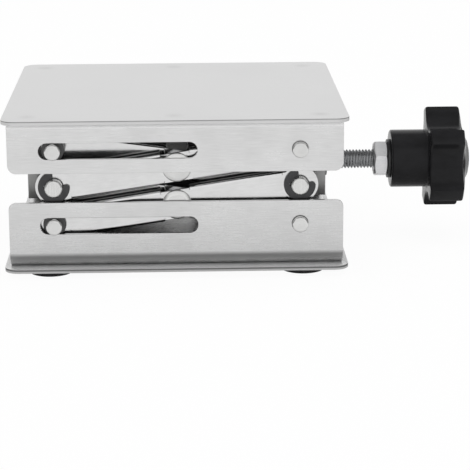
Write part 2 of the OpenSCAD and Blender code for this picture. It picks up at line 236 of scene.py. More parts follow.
def rounded_grid(xs, ys, corner):
    """Grid of xs by ys whose four corner squares are drawn radially into quarter discs."""
    grid = np.stack(np.meshgrid(xs, ys, indexing="ij"), -1)
    inner = np.abs([xs[0], ys[0]]) - corner
    out = np.maximum(np.abs(grid) - inner, 0)
    reach = np.linalg.norm(out, axis=-1, keepdims=True)
    shrink = out.max(-1, keepdims=True) / np.maximum(reach, 1e-9)
    both = out.min(-1, keepdims=True) > 0
    return np.where(both, np.sign(grid) * (inner + out * shrink), grid)


def pierced(xs, ys, corner, slots):
    """Flat rounded sheet: round each slot (left, right, across, radius) a window of the
    grid is left out and filled with rings."""
    grid = rounded_grid(xs, ys, corner)
    keep = np.ones((len(xs) - 1, len(ys) - 1), bool)
    cells = []
    for left, right, across, radius in slots:
        i0 = np.abs(xs - left + WINDOW).argmin()
        i1 = np.abs(xs - right - WINDOW).argmin()
        j0 = np.abs(ys - across + WINDOW).argmin()
        j1 = np.abs(ys - across - WINDOW).argmin()
        keep[i0:i1, j0:j1] = False
        loop = np.concatenate([
            grid[i0:i1, j0], grid[i1, j0:j1], grid[i1:i0:-1, j1],
            grid[i0, j1:j0:-1], grid[i0:i0 + 1, j0]])
        cells.append(ring(loop, left, right, across, radius))
    return join([(grid, keep)] + cells)


def samples(half, corner, *spans):
    """Sorted stations from -half to half with a fine start and end, and the given spans."""
    edge = half - corner + corner * np.tan(np.linspace(0, math.pi / 4, 6))
    return np.unique(np.round(np.concatenate([-edge, edge, *spans]), 5))


def thick(points, quads, place, thickness):
    """A sheet of even thickness. Its outer face is place(point, 0) and its inner face
    place(point, thickness); a wall joins them along every edge that has one quad only."""
    count = len(points)
    a, b, c, d = (points[quads[:, k]] for k in range(4))
    area = (c - a)[:, 0] * (d - b)[:, 1] - (c - a)[:, 1] * (d - b)[:, 0]
    quads = np.where(area[:, None] < 0, quads[:, ::-1], quads)
    edges = np.concatenate([quads[:, [k, (k + 1) % 4]] for k in range(4)])
    forward = edges[:, 0] * count + edges[:, 1]
    backward = edges[:, 1] * count + edges[:, 0]
    rim = edges[~np.isin(forward, backward)]
    walls = np.stack([rim[:, 1], rim[:, 0], rim[:, 0] + count, rim[:, 1] + count], -1)
    faces = np.concatenate([quads, quads[:, ::-1] + count, walls])
    shape = np.concatenate([place(points, 0.0), place(points, thickness)])
    flat = np.concatenate([points, points])
    return shape, faces, flat[faces]


def folded(half_web, bend):
    """Fold of a flat sheet into a channel: beyond half_web the sheet turns through a
    quarter circle of that outer radius and then runs on straight. Gives the distance
    across and the height for a flat distance and a depth below the outer face, and
    leaves the sheet flat where it is told to."""
    def fold(across, depth, where):
        far = np.where(where, np.maximum(np.abs(across) - half_web, 0), 0)
        turn = np.minimum(far / bend, RIGHT_ANGLE)
        past = np.maximum(far - bend * RIGHT_ANGLE, 0)
        side = np.abs(across) - far + (bend - depth) * np.sin(turn)
        return np.sign(across) * side, bend - (bend - depth) * np.cos(turn) + past
    return fold


def fillet(outline, steps=4):
    """Outline whose corners (along, radius, rounding) become curves that leave and join
    the two sides that far from the corner. Corners with no rounding stay sharp."""
    at = np.array([corner[:2] for corner in outline], float)
    parts = []
    for k, corner in enumerate(outline):
        rounding = corner[2] if len(corner) > 2 else 0
        if not rounding:
            parts.append(at[k:k + 1])
            continue
        before, after = at[k - 1] - at[k], at[(k + 1) % len(at)] - at[k]
        start = at[k] + rounding * before / np.linalg.norm(before)
        end = at[k] + rounding * after / np.linalg.norm(after)
        t = np.linspace(0, 1, steps + 1)[:, None]
        parts.append((1 - t) ** 2 * start + 2 * t * (1 - t) * at[k] + t ** 2 * end)
    return np.concatenate(parts)


def turned(outline, centre, axis, steps=64):
    """Body of revolution: outline points (along, radius) carried round an axis through
    centre, 0 for X, 1 for Y and 2 for Z. Also gives its unrolled map."""
    outline = np.asarray(outline, float)
    turn = np.linspace(0, 2 * math.pi, steps + 1)
    along = outline[:, :1] + 0 * turn
    radius = outline[:, 1:2]
    grid = np.stack([along, radius * np.cos(turn), radius * np.sin(turn)], -1)
    step = np.linalg.norm(np.diff(outline, axis=0), axis=1)
    run = np.concatenate([[0], np.cumsum(step)])[:, None]
    unrolled = np.stack([turn * outline[:, 1].max() + 0 * run, run + 0 * turn], -1)
    return np.roll(grid, axis, -1) + np.asarray(centre), unrolled


def closed(*shells):
    """Welded faces of grids that each close on themselves, with their unrolled maps."""
    points, quads, maps, first = [], [], [], 0
    for grid, unrolled in shells:
        numbers = quads_of(grid)
        here, there = weld(grid.reshape(-1, 3), numbers)
        points.append(here)
        quads.append(there + first)
        maps.append(unrolled.reshape(-1, 2)[numbers])
        first += len(here)
    return np.concatenate(points), np.concatenate(quads), np.concatenate(maps)


def split_poles(quads, maps):
    """Quads with four different corners, and triangles where a side has shrunk to a point."""
    same = quads == np.roll(quads, -1, 1)
    crossed = (quads[:, 0] == quads[:, 2]) | (quads[:, 1] == quads[:, 3])
    whole = (same.sum(1) == 0) & ~crossed
    pinched = (same.sum(1) == 1) & ~crossed
    order = (np.argmax(same, 1)[:, None] + np.arange(1, 4)) % 4
    three = np.take_along_axis(quads, order, 1)[pinched]
    three_maps = np.take_along_axis(maps, order[:, :, None], 1)[pinched]
    return quads[whole], maps[whole], three, three_maps


def outward(points, quads, maps):
    """Turns every face round if the signed volume of the shape is negative."""
    a, b, c, d = (points[quads[:, k]] for k in range(4))
    volume = (a * np.cross(b, c)).sum() + (a * np.cross(c, d)).sum()
    if volume < 0:
        return quads[:, ::-1], maps[:, ::-1]
    return quads, maps


def add_piece(name, nodes, shape, material, rim=0.0, crease=40.0, segments=3):
    """Puts a shape into a mesh, finishes its edges and hands it to the frame."""
    points, quads, maps = shape
    quads, maps = outward(points, quads, maps)
    quads, maps, three, three_maps = split_poles(quads, maps)
    mesh = bpy.data.meshes.new(name)
    mesh.from_pydata(points * MM, [], quads.tolist() + three.tolist())
    layer = mesh.uv_layers.new(name="Sheet")
    uv = np.concatenate([maps.reshape(-1, 2), three_maps.reshape(-1, 2)]) * MM
    layer.data.foreach_set("uv", uv.reshape(-1).astype(np.float32))
    mesh.update()
    return finish_piece(name, mesh, nodes, material, rim, crease, segments)


def finish_piece(name, mesh, nodes, material, rim, crease, segments):
    """Smooth shading, rounded edges, material, body, replaced nodes and slot."""
    if mesh.validate():
        raise RuntimeError(f"{name} had faces that are not valid")
    mesh.shade_smooth()
    mesh.set_sharp_from_angle(angle=math.radians(crease))
    piece = bpy.data.objects.new(name, mesh)
    bpy.context.scene.collection.objects.link(piece)
    mesh.materials.append(material)
    if rim:
        rounding = piece.modifiers.new("Edges", "BEVEL")
        rounding.width = rim * MM
        rounding.segments = segments
        rounding.limit_method = "ANGLE"
        rounding.angle_limit = math.radians(crease)
        rounding.use_clamp_overlap = True
        rounding.miter_outer = "MITER_ARC"
    even = piece.modifiers.new("Face shading", "WEIGHTED_NORMAL")
    even.keep_sharp = True
    even.weight = 50
    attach(piece, BODY_OF[nodes[0]])
    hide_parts(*nodes)
    return piece


def merged_copy(node):
    """Copy of a node's triangles with its doubles merged and its flat faces made whole."""
    work = bmesh.new()
    work.from_mesh(frame["nodes"][node].data)
    bmesh.ops.remove_doubles(work, verts=work.verts, dist=2e-6)
    bmesh.ops.dissolve_limit(
        work, angle_limit=math.radians(1.5), verts=work.verts, edges=work.edges)
    bmesh.ops.recalc_face_normals(work, faces=work.faces)
    mesh = bpy.data.meshes.new(node + "_merged")
    work.to_mesh(mesh)
    work.free()
    for layer in list(mesh.uv_layers):
        mesh.uv_layers.remove(layer)
    mesh.materials.clear()
    return mesh


# ---- materials ----

def add_node(tree, kind, inputs=(), **settings):
    """Adds a node, sets its properties, and sets or links its inputs."""
    made = tree.nodes.new(kind)
    for key, value in settings.items():
        setattr(made, key, value)
    for socket, value in dict(inputs).items():
        if isinstance(value, bpy.types.NodeSocket):
            tree.links.new(value, made.inputs[socket])
        else:
            made.inputs[socket].default_value = value
    return made


def new_material(name):
    """Existing or new material with an empty node tree."""
    material = bpy.data.materials.get(name)
    if material:
        return material, None
    material = bpy.data.materials.new(name)
    material.use_nodes = True
    material.node_tree.nodes.clear()
    return material, material.node_tree


def scaled(tree, space, sizes):
    """Coordinates in which one unit is the given size, in millimetres, along each axis."""
    where = add_node(tree, "ShaderNodeTexCoord").outputs[space]
    return add_node(tree, "ShaderNodeMapping", {
        "Vector": where, "Scale": [1 / (value * MM) for value in sizes]}).outputs[0]


def noise(tree, vector, detail=3.0, rough=0.55):
    """Noise between 0 and 1 with features of one unit."""
    return add_node(tree, "ShaderNodeTexNoise", {
        "Vector": vector, "Scale": 1.0, "Detail": detail, "Roughness": rough}).outputs[0]


def spread(tree, value, low, high, start=0.3, end=0.7):
    """Value from start..end carried over to low..high."""
    return add_node(tree, "ShaderNodeMapRange", {
        "Value": value, "From Min": start, "From Max": end,
        "To Min": low, "To Max": high}).outputs[0]


def blend_colours(tree, share, first, second):
    """Colour between first and second by share."""
    return add_node(tree, "ShaderNodeMix", {
        0: share, 6: first, 7: second}, data_type="RGBA").outputs[2]


def sum_of(tree, first, second, second_weight):
    """first + second x weight."""
    return add_node(tree, "ShaderNodeMath", {
        0: second, 1: second_weight, 2: first}, operation="MULTIPLY_ADD").outputs[0]


def finish_surface(tree, base, rough, height, relief, **fixed):
    """Principled surface with a colour, a roughness and a relief in micrometres."""
    bump = add_node(tree, "ShaderNodeBump", {
        "Height": height, "Strength": 1.0, "Distance": relief * 1e-6}).outputs[0]
    inputs = {"Base Color": base, "Roughness": rough, "Normal": bump}
    inputs.update({key.replace("_", " "): value for key, value in fixed.items()})
    shader = add_node(tree, "ShaderNodeBsdfPrincipled", inputs)
    add_node(tree, "ShaderNodeOutputMaterial", {"Surface": shader.outputs[0]})


def place_and_facing(tree):
    """X, Y and Z of the place on the piece, and X, Y and Z of the way the face looks."""
    where = add_node(tree, "ShaderNodeTexCoord").outputs
    return [add_node(tree, "ShaderNodeSeparateXYZ", {0: where[name]}).outputs
            for name in ("Object", "Normal")]


def inner_shade_share(tree, start=-0.02, end=-0.005):
    """1 on faces that look towards the middle of the jack along Y, where shade is painted,
    0 on those that look outward. Faces that look along X or Z have an outlook of 0 between start and
    end."""
    place, facing = place_and_facing(tree)
    outlook = add_node(tree, "ShaderNodeMath", {
        0: place[1], 1: facing[1]}, operation="MULTIPLY").outputs[0]
    return spread(tree, outlook, 1.0, 0.0, start, end)


def turned_edge_shade_share(tree):
    """1 on inner faces and on the turned edges of a link, 0 on its flat outer face: the share of
    painted shade between the links.
    """
    return inner_shade_share(tree, 0.012, 0.028)


def bend_shade_share(tree):
    """1 on inner faces, and growing down a flange and round its lower bend: the share of painted
    shade.
    """
    place, facing = place_and_facing(tree)
    # Painted shade on faces that look down round the bend, and darker towards the bottom of the
    # flange.
    under = spread(tree, facing[2], 0.0, 0.55, -0.7, -0.35)
    start = spread(tree, facing[2], 1.0, 0.0, -0.25, -0.03)
    under = add_node(tree, "ShaderNodeMath", {0: under, 1: start}, operation="MULTIPLY").outputs[0]
    low = spread(tree, place[2], 0.16, 0.04, 0.005, 0.02)
    return sum_of(tree, inner_shade_share(tree), sum_of(tree, under, low, 1.0), 1.0)


def sunk_shade_share(tree, end=0.0466, most=1.0):
    """Most on the stretch of a rod between the flanges, 0 on its ends: the share of painted shade."""
    place, _ = place_and_facing(tree)
    depth = add_node(tree, "ShaderNodeMath", {0: place[1]}, operation="ABSOLUTE").outputs[0]
    return spread(tree, depth, most, 0.0, end, end + 0.0004)


def bar_shade_share(tree):
    """A part share of painted shade on a cross bar between the outer links, 0 on its journals."""
    return sunk_shade_share(tree, 0.0425, 0.6)


def sheared_edge(tree, base, pale, dark, start, end):
    """Colour of a sheet whose steep edge faces are pale below and dark above start..end,
    as shares of the sheet's thickness. Also gives the share of those faces."""
    _, facing = place_and_facing(tree)
    steep = add_node(tree, "ShaderNodeMath", {0: facing[2]}, operation="ABSOLUTE").outputs[0]
    edge = spread(tree, steep, 1.0, 0.0, 0.35, 0.9)
    through = add_node(tree, "ShaderNodeTexCoord").outputs["Generated"]
    through = add_node(tree, "ShaderNodeSeparateXYZ", {0: through}).outputs[2]
    share = spread(tree, through, 0.0, 1.0, start, end)
    tone = blend_colours(tree, share, colour(pale), colour(dark))
    return blend_colours(tree, edge, base, tone), edge


def satin_metal(name, pale, dark, gloss, space, line, relief, patch, lean=0.05, inside=None,
                metal=1.0, painted_light=False, edge=None):
    """Metal with fine drawn lines, line = (length, width) in mm, and broad soft patches
    in which tone and gloss drift. relief is the depth of the lines in micrometres. With
    inside, a share of the surface gets painted shade: a dark colour and more roughness."""
    material, tree = new_material(name)
    if tree is None:
        return material
    along, width = line
    lines = noise(tree, scaled(tree, space, (along, width, width)), 4.0, 0.65)
    patches = noise(tree, scaled(tree, "Object", (patch,) * 3), 2.0, 0.5)
    mixed = sum_of(tree, lines, sum_of(tree, patches, patches, 0.0), 0.6)
    base = blend_colours(tree, spread(tree, mixed, 0.0, 1.0, 0.55, 1.05), dark, pale)
    rough = spread(tree, mixed, gloss - lean, gloss + lean, 0.55, 1.05)
    if edge:
        base, _ = sheared_edge(tree, base, *edge)
    # Painted light: faces that look up get a pale colour.
    if painted_light:
        _, facing = place_and_facing(tree)
        bend = spread(tree, facing[2], 0.0, 1.0, 0.2, 0.4)
        base = blend_colours(tree, bend, base, colour("painted_light"))
    # Painted shade: the given share of the surface gets a dark colour and more roughness.
    if inside:
        share = inside(tree)
        base = blend_colours(tree, share, base, colour("painted_shade"))
        rough = sum_of(tree, rough, share, 0.2)
    finish_surface(tree, base, rough, lines, relief, Metallic=metal)
    return material


def plate_finish():
    """Stainless sheet, cold rolled and satin ground along X: even pale grey with faint
    long lines, and a row of soft marks over the spot welds near the edges."""
    material, tree = new_material("stainless_sheet_satin_ground")
    if tree is None:
        return material
    lines = noise(tree, scaled(tree, "UV", (22.0, 0.35, 0.35)), 4.0, 0.65)
    patches = noise(tree, scaled(tree, "Object", (28.0,) * 3), 2.0, 0.5)
    where = add_node(tree, "ShaderNodeTexCoord").outputs["Object"]
    split = add_node(tree, "ShaderNodeSeparateXYZ", {0: where})
    shifted = add_node(tree, "ShaderNodeMath", {
        0: split.outputs[0], 1: 0.0004}, operation="ADD").outputs[0]
    to_weld_x = add_node(tree, "ShaderNodeMath", {
        0: shifted, 1: 0.02115}, operation="PINGPONG").outputs[0]
    depth = add_node(tree, "ShaderNodeMath", {0: split.outputs[1]}, operation="ABSOLUTE").outputs[0]
    to_weld_y = add_node(tree, "ShaderNodeMath", {
        0: depth, 1: 0.0425}, operation="SUBTRACT").outputs[0]
    offset = add_node(tree, "ShaderNodeCombineXYZ", {0: to_weld_x, 1: to_weld_y})
    away = add_node(tree, "ShaderNodeVectorMath", {0: offset.outputs[0]},
                    operation="LENGTH").outputs[1]
    mark = spread(tree, away, 1.0, 0.0, 0.0, 0.0034)
    mixed = sum_of(tree, lines, patches, 0.6)
    tone = sum_of(tree, spread(tree, mixed, 0.0, 1.0, 0.55, 1.05), mark, -0.55)
    base = blend_colours(tree, tone, colour("sheet_dark"), colour("sheet_pale"))
    rough = sum_of(tree, spread(tree, mixed, 0.27, 0.35, 0.55, 1.05), mark, 0.08)
    # Painted reflection: the upper rim of the edge is darkened; the rest keeps the sheared edge's
    # tone.
    base, edge = sheared_edge(tree, base, "sheared_pale", "painted_dark_rim", 0.7, 0.9)
    # Painted light: the underside gets a pale colour.
    _, facing = place_and_facing(tree)
    under = spread(tree, facing[2], 1.0, 0.0, -0.9, -0.5)
    base = blend_colours(tree, under, base, colour("painted_light"))
    finish_surface(tree, base, sum_of(tree, rough, edge, 0.12), lines, 0.9, Metallic=1.0)
    return material


def channel_finish():
    """Stainless sheet, brushed along X before it was bent: fine level lines that run on
    round the bends. Painted shade darkens its inner faces and painted light brightens its bends that
    look up."""
    return satin_metal("stainless_sheet_brushed", colour("channel_pale"),
                       colour("channel_dark"), 0.24, "UV", (5.0, 0.35), 0.9, 9.0,
                       inside=inner_shade_share, painted_light=True)


def lower_channel_finish():
    """The same brushed sheet, with painted shade and more roughness towards and round the lower bend.
    """
    return satin_metal("stainless_sheet_brushed_shaded_low", colour("channel_pale"),
                       colour("channel_dark"), 0.24, "UV", (5.0, 0.35), 0.9, 9.0,
                       inside=bend_shade_share)


def base_finish():
    """Stainless sheet as rolled, under a chalky film: dull, so that it scatters the light
    from all sides."""
    return satin_metal("stainless_sheet_rolled", colour("rolled_pale"),
                       colour("rolled_dark"), 0.45, "UV", (22.0, 0.35), 0.9, 28.0, metal=0.5,
                       edge=("base_edge_pale", "base_edge_dark", 0.45, 0.6))


def link_finish():
    """Stainless strip, pressed and tumbled: brighter, with short marks along the link, and painted
    shade on its inner faces and turned edges.
    """
    return satin_metal("stainless_strip_pressed", colour("link_pale"),
                       colour("link_dark"), 0.15, "UV", (4.0, 0.5), 0.6, 7.0,
                       inside=turned_edge_shade_share)


def turned_finish():
    """Free-cutting steel, turned bright: fine rings left by the tool."""
    return satin_metal("steel_turned_bright", colour("turned_pale"),
                       colour("turned_dark"), 0.2, "UV", (14.0, 0.25), 0.8, 6.0)


def rod_finish():
    """The same bright steel at the rod ends, with painted shade, dark and duller, between the flanges.
    """
    return satin_metal("steel_turned_shaded_between", colour("turned_pale"),
                       colour("turned_dark"), 0.2, "UV", (14.0, 0.25), 0.8, 6.0,
                       inside=sunk_shade_share)


def milled_finish():
    """Free-cutting steel bar with its journals turned to a soft satin, and painted shade where it lies
    between the outer links.
    """
    return satin_metal("steel_drawn_bar", colour("turned_pale"),
                       colour("turned_dark"), 0.27, "Object", (0.4, 6.0), 1.4, 7.0,
                       inside=bar_shade_share)


def zinc_finish():
    """Steel, bright zinc plated: cool, slightly cloudy grey."""
    return satin_metal("steel_bright_zinc", colour("zinc_pale"),
                       colour("zinc_dark"), 0.38, "Object", (1.4, 0.5), 1.8, 3.0, 0.08,
                       metal=0.75)


def thread_finish():
    """Rolled thread with a film of grease: darker and duller than the plated nut."""
    return satin_metal("steel_rolled_thread_greased", colour("thread_pale"),
                       colour("thread_dark"), 0.30, "Object", (1.4, 0.5), 1.8, 3.0, 0.08)


def oxide_finish():
    """Spring steel, black oxide with an oil film: dark satin metal, rubbed in places."""
    return satin_metal("spring_steel_black_oxide", colour("oxide_worn"),
                       colour("oxide"), 0.38, "Object", (0.8, 0.5), 1.5, 2.2, 0.08)


def phenolic_finish():
    """Phenolic, compression moulded and tumbled: near black, a soft gloss with a slight
    orange peel and paler flow marks."""
    material, tree = new_material("phenolic_moulded_black")
    if tree is None:
        return material
    peel = noise(tree, scaled(tree, "Object", (0.9,) * 3), 3.0, 0.5)
    flow = noise(tree, scaled(tree, "Object", (9.0, 5.0, 5.0)), 3.0, 0.6)
    base = blend_colours(tree, spread(tree, flow, 0.0, 1.0, 0.35, 0.75),
                         colour("phenolic"), colour("phenolic_pale"))
    rough = spread(tree, flow, 0.15, 0.22)
    finish_surface(tree, base, rough, peel, 3.0, IOR=1.5, Specular_IOR_Level=0.1)
    return material


def rubber_finish():
    """Rubber, moulded: dull black with a fine matt grain and some dust."""
    material, tree = new_material("rubber_moulded_black")
    if tree is None:
        return material
    grain = noise(tree, scaled(tree, "Object", (0.35,) * 3), 3.0, 0.6)
    dust = noise(tree, scaled(tree, "Object", (3.0,) * 3), 4.0, 0.6)
    base = blend_colours(tree, spread(tree, dust, 0.0, 1.0, 0.45, 0.8),
                         colour("rubber"), colour("rubber_dusty"))
    rough = spread(tree, grain, 0.62, 0.8)
    finish_surface(tree, base, rough, grain, 12.0, IOR=1.52)
    return material


# ---- shapes of the pieces ----

def plate_shape(node, holes):
    """Square sheet with rounded corners: x and y stay, depth goes down from its top."""
    low, high = corners(node)
    half, corner = (high[0] - low[0]) / 2, size("plate_corner")
    foot = middle("front_right_foot") if holes else None
    spans = [np.linspace(-half + corner, half - corner, 9)]
    xs = samples(half, corner, *spans)
    ys, slots = xs, []
    if holes:
        reach_x, reach_y = foot[0], abs(foot[1])
        xs = samples(half, corner, reach_x + fan(), -reach_x + fan())
        ys = samples(half, corner, reach_y + fan(), -reach_y + fan())
        slots = [(sx * reach_x, sx * reach_x, sy * reach_y, size("foot_hole") / 2)
                 for sx in (-1, 1) for sy in (-1, 1)]
    points, quads = pierced(xs, ys, corner, slots)

    def place(flat, depth):
        return np.column_stack([flat, np.full(len(flat), high[2] - depth)])
    return thick(points, quads, place, high[2] - low[2])


def channel_shape(node, rods, bend, corner, up, holes):
    """Sheet channel along X: a pierced flat sheet folded up along both long sides. up is
    1 where the flanges rise from the web and -1 where they hang from it."""
    low, high = corners(node)
    slide, fixed = middle(rods[0]), middle(rods[1])
    half_x, half_web = high[0], high[1] - bend
    web = low[2] if up > 0 else high[2]
    edge = half_web + bend * RIGHT_ANGLE + (high[2] - low[2]) - bend
    pivot = half_web + bend * RIGHT_ANGLE + abs(fixed[2] - web) - bend
    left, right = slide[0] - size("slot_overrun"), size("slot_far")
    xs = [left + fan()[:7], np.linspace(left, right, 9), right + fan()[6:], fixed[0] + fan(),
          np.linspace(right + WINDOW, fixed[0] - WINDOW, 5)]
    bends = half_web + bend * np.linspace(0, RIGHT_ANGLE, 11)
    ys = [sign * part for sign in (-1, 1) for part in (bends, pivot + fan())]
    ys.append(np.linspace(-half_web, half_web, 9))
    slots = [(left, right, sign * pivot, size("slot_width") / 2) for sign in (-1, 1)]
    slots += [(fixed[0], fixed[0], sign * pivot, size("pivot_hole") / 2) for sign in (-1, 1)]
    if holes:
        foot = middle("front_right_foot")
        reach_x, reach_y = foot[0], abs(foot[1])
        xs.append(-reach_x + fan())
        ys += [reach_y + fan(), -reach_y + fan()]
        slots += [(sx * reach_x, sx * reach_x, sy * reach_y, size("foot_hole") / 2)
                  for sx in (-1, 1) for sy in (-1, 1)]
    points, quads = pierced(
        samples(half_x, corner, *xs), samples(edge, corner, *ys), corner, slots)
    fold = folded(half_web, bend)

    def place(flat, depth):
        across, height = fold(flat[:, 1], depth, True)
        return np.column_stack([flat[:, 0], across, web + up * height])
    return thick(points, quads, place, size("sheet"))


LIP_FROM, LIP_TO = 4.2, 31.5   # stretch of a link's half that has turned edges, in mm
LIP_RELIEF = 0.08              # cut between a turned edge and the flat beside it


def link_shape(node, rivet, rod, rear):
    """Pressed link along its own line: flat round ends and a flat middle in rings about
    their holes, and between them a channel section. The line is then tilted."""
    low, high = corners(node)
    centre, held = middle(rivet), middle(rod)
    half = math.hypot(held[0] - centre[0], held[2] - centre[2])
    rod_side = 1 if held[0] > centre[0] else -1
    flat, relief = size("link_flat"), size("link_relief")
    bend, end = size("link_bend"), size("link_end")
    across = np.linspace(-flat, flat, 7)
    lip = flat + np.concatenate([
        bend * np.linspace(0, RIGHT_ANGLE, 7),
        [bend * RIGHT_ANGLE + size("link_lip") - bend]])
    stretch = np.linspace(LIP_FROM + LIP_RELIEF, LIP_TO - LIP_RELIEF, 12)
    whole = np.concatenate([[LIP_FROM], stretch, [LIP_TO]])
    side = np.concatenate([[-relief], across, [relief]])

    def line(along, over):
        return np.stack(np.broadcast_arrays(along, over), -1).astype(float)

    def grid(along, over):
        return np.stack(np.meshgrid(along, over, indexing="ij"), -1)

    top = np.linspace(LIP_FROM, -LIP_FROM, 9)[1:-1]
    block = np.concatenate([line(LIP_FROM, side), line(top, relief),
                            line(-LIP_FROM, side[::-1]), line(-top, -relief),
                            line(LIP_FROM, side[:1])])
    cells = [ring(block, 0.0, 0.0, 0.0, size("rivet_hole") / 2)]
    lean = math.pi - math.asin(relief / end)
    arc = np.linspace(lean, -lean, 37)
    arc = np.stack([half + end * np.cos(arc), end * np.sin(arc)], -1)
    edge = np.linspace(LIP_TO, arc[0, 0], 5)[1:-1]
    outer = np.concatenate([line(LIP_TO, side), line(edge, relief), arc,
                            line(edge[::-1], -relief), line(LIP_TO, side[:1])])
    for sign in (-1, 1):
        bore = size("rod_hole") if sign == rod_side else size("journal_hole")
        cells.append(ring(outer, half, half, 0.0, bore / 2) * (sign, 1))
        cells.append(grid(sign * whole, across))
        cells += [grid(sign * stretch, lip), grid(sign * stretch, -lip)]
    points, quads = join(cells)
    fold = folded(flat, bend)
    tilt = math.asin((held[2] - centre[2]) / half) * rod_side
    face = high[1] if rear else low[1]
    inward = -1 if rear else 1

    def place(sheet, depth):
        along, over = sheet[:, 0], sheet[:, 1]
        bent = ((np.abs(along) > LIP_FROM + LIP_RELIEF / 2)
                & (np.abs(along) < LIP_TO - LIP_RELIEF / 2))
        over, sunk = fold(over, depth, bent)
        return np.column_stack([
            centre[0] + along * math.cos(tilt) - over * math.sin(tilt),
            face + inward * sunk,
            centre[2] + along * math.sin(tilt) + over * math.cos(tilt)])
    return thick(points, quads, place, size("link_sheet"))


def rod_shape(node):
    """Cross rod: thick middle and thinner shouldered ends with rounded tips."""
    low, high = corners(node)
    at, thick_r, end_y = middle(node), (high[0] - low[0]) / 2, high[1]
    shoulder = corners("upper_channel")[1][1] - size("sheet") - 0.3
    thin_r = 2.3
    half = [(end_y, 0), (end_y, thin_r - 0.3, 0.1), (end_y - 0.25, thin_r, 0.15),
            (shoulder, thin_r), (shoulder, thick_r, 0.25)]
    outline = [(-c[0], *c[1:]) for c in half] + half[::-1]
    return closed(turned(fillet(outline), at * (1, 0, 1), 1))


def rivet_shape(node, rear):
    """Centre rivet: low domed head outside, shank, and an upset head inside."""
    low, high = corners(node)
    at = middle(node)
    outside, inside = (high[1], low[1]) if rear else (low[1], high[1])
    way = 1 if rear else -1
    head = (high[0] - low[0]) / 2
    outline = [(outside, 0), (outside - way * 0.02, head - 1.6),
               (outside - way * 0.22, head - 0.75, 0.3),
               (outside - way * 0.62, head, 0.3), (outside - way * 1.1, head, 0.1),
               (outside - way * 1.1, 2.5), (inside + way * 0.8, 2.5), (inside + way * 0.8, 4.0, 0.1),
               (inside, 3.6, 0.1), (inside, 0)]
    return closed(turned(fillet(outline), at * (1, 0, 1), 1))


def rings_shape(node, bore):
    """Two plain rings, one on each side, with broken edges."""
    low, high = corners(node)
    at, radius = middle(node), (high[0] - low[0]) / 2
    inner = corners("lower_inner_rear_arm")[1][1] + 0.05
    shells = []
    for sign in (-1, 1):
        near, far = sign * inner, sign * high[1]
        outline = fillet([(near, bore), (near, radius, 0.15), (far, radius, 0.15),
                          (far, bore), (near, bore)])
        shells.append(turned(outline, at * (1, 0, 1), 1, 48))
    return closed(*shells)


def clip_shape(node, hub):
    """Flat spring clip: a band between an inner and an outer circle from one tip to the
    other, tapering at the tips, with two notches in its inner edge."""
    low, high = corners(node)
    at = middle(hub)
    rear = low[1] > 0
    angle = np.radians(np.linspace(96, 372, 93))
    inner = np.full(len(angle), size("clip_groove") / 2)
    for notch in np.radians([176, 291]):
        inner += 0.95 * np.exp(-((angle - notch) / math.radians(11)) ** 4)
    outer = np.full(len(angle), 4.6)
    share = np.minimum(angle - angle[0], angle[-1] - angle) / math.radians(14)
    taper = np.sqrt(np.clip(1 - (1 - np.minimum(share, 1)) ** 2, 0.12, 1))
    centre_line, width = (inner + outer) / 2, (outer - inner) / 2 * taper
    across = np.array([-1, -0.7, 0.7, 1])
    radius = centre_line[:, None] + width[:, None] * across
    points, quads = join([np.stack(
        [radius * np.cos(angle)[:, None], radius * np.sin(angle)[:, None]], -1)])
    face, inward = (high[1], -1) if rear else (low[1], 1)

    def place(flat, depth):
        return np.column_stack([
            at[0] + flat[:, 0], np.full(len(flat), face + inward * depth), at[2] + flat[:, 1]])
    return thick(points, quads, place, high[1] - low[1])


def screw_shape():
    """Threaded rod: a ridge profile is carried along a helix, one turn per pitch, so that
    each turn's foot is the next one's start. Both ends are cut square."""
    low, high = corners("lead_screw")
    at, radius = middle("lock_nut"), (high[1] - low[1]) / 2
    pitch, root = size("thread_pitch"), radius - size("thread_depth")
    turns = math.ceil((high[0] - low[0]) / pitch) + 1
    turn = np.linspace(0, turns, turns * 36 + 1)[:, None]
    share = np.array([0.0, 0.06, 0.42, 0.58, 0.94, 1.0])
    height = np.array([0.0, 0.0, 1.0, 1.0, 0.0, 0.0])
    free = low[0] + pitch * (turn - 1 + share)
    along = np.clip(free, low[0], high[0])
    ramp = np.clip(np.minimum(free - low[0], high[0] - free) / 0.9, 0, 1)
    reach = root + size("thread_depth") * height * ramp
    angle = 2 * math.pi * turn
    grid = np.stack([along, at[1] + reach * np.cos(angle), at[2] + reach * np.sin(angle)], -1)
    unrolled = np.stack(np.broadcast_arrays(turn * 18.0, share * 1.3), -1)
    caps = []
    for end, x in ((0, low[0]), (-1, high[0])):
        circle = grid[:37, 0] if end == 0 else grid[-37:, -1]
        centre = np.broadcast_to([x, at[1], at[2]], circle.shape)
        flat = np.stack([centre, circle] if end else [circle, centre])
        caps.append((flat[::-1] if end else flat, flat[..., 1:]))
    return join_shells([(grid, unrolled), *caps])


def join_shells(shells):
    """Welded faces of grids that close one another."""
    points = np.concatenate([grid.reshape(-1, 3) for grid, _ in shells])
    first = np.cumsum([0] + [grid.shape[0] * grid.shape[1] for grid, _ in shells])
    quads = np.concatenate([quads_of(grid, at) for (grid, _), at in zip(shells, first)])
    maps = np.concatenate([unrolled.reshape(-1, 2) for _, unrolled in shells])[quads]
    points, quads = weld(points, quads)
    return points, quads, maps


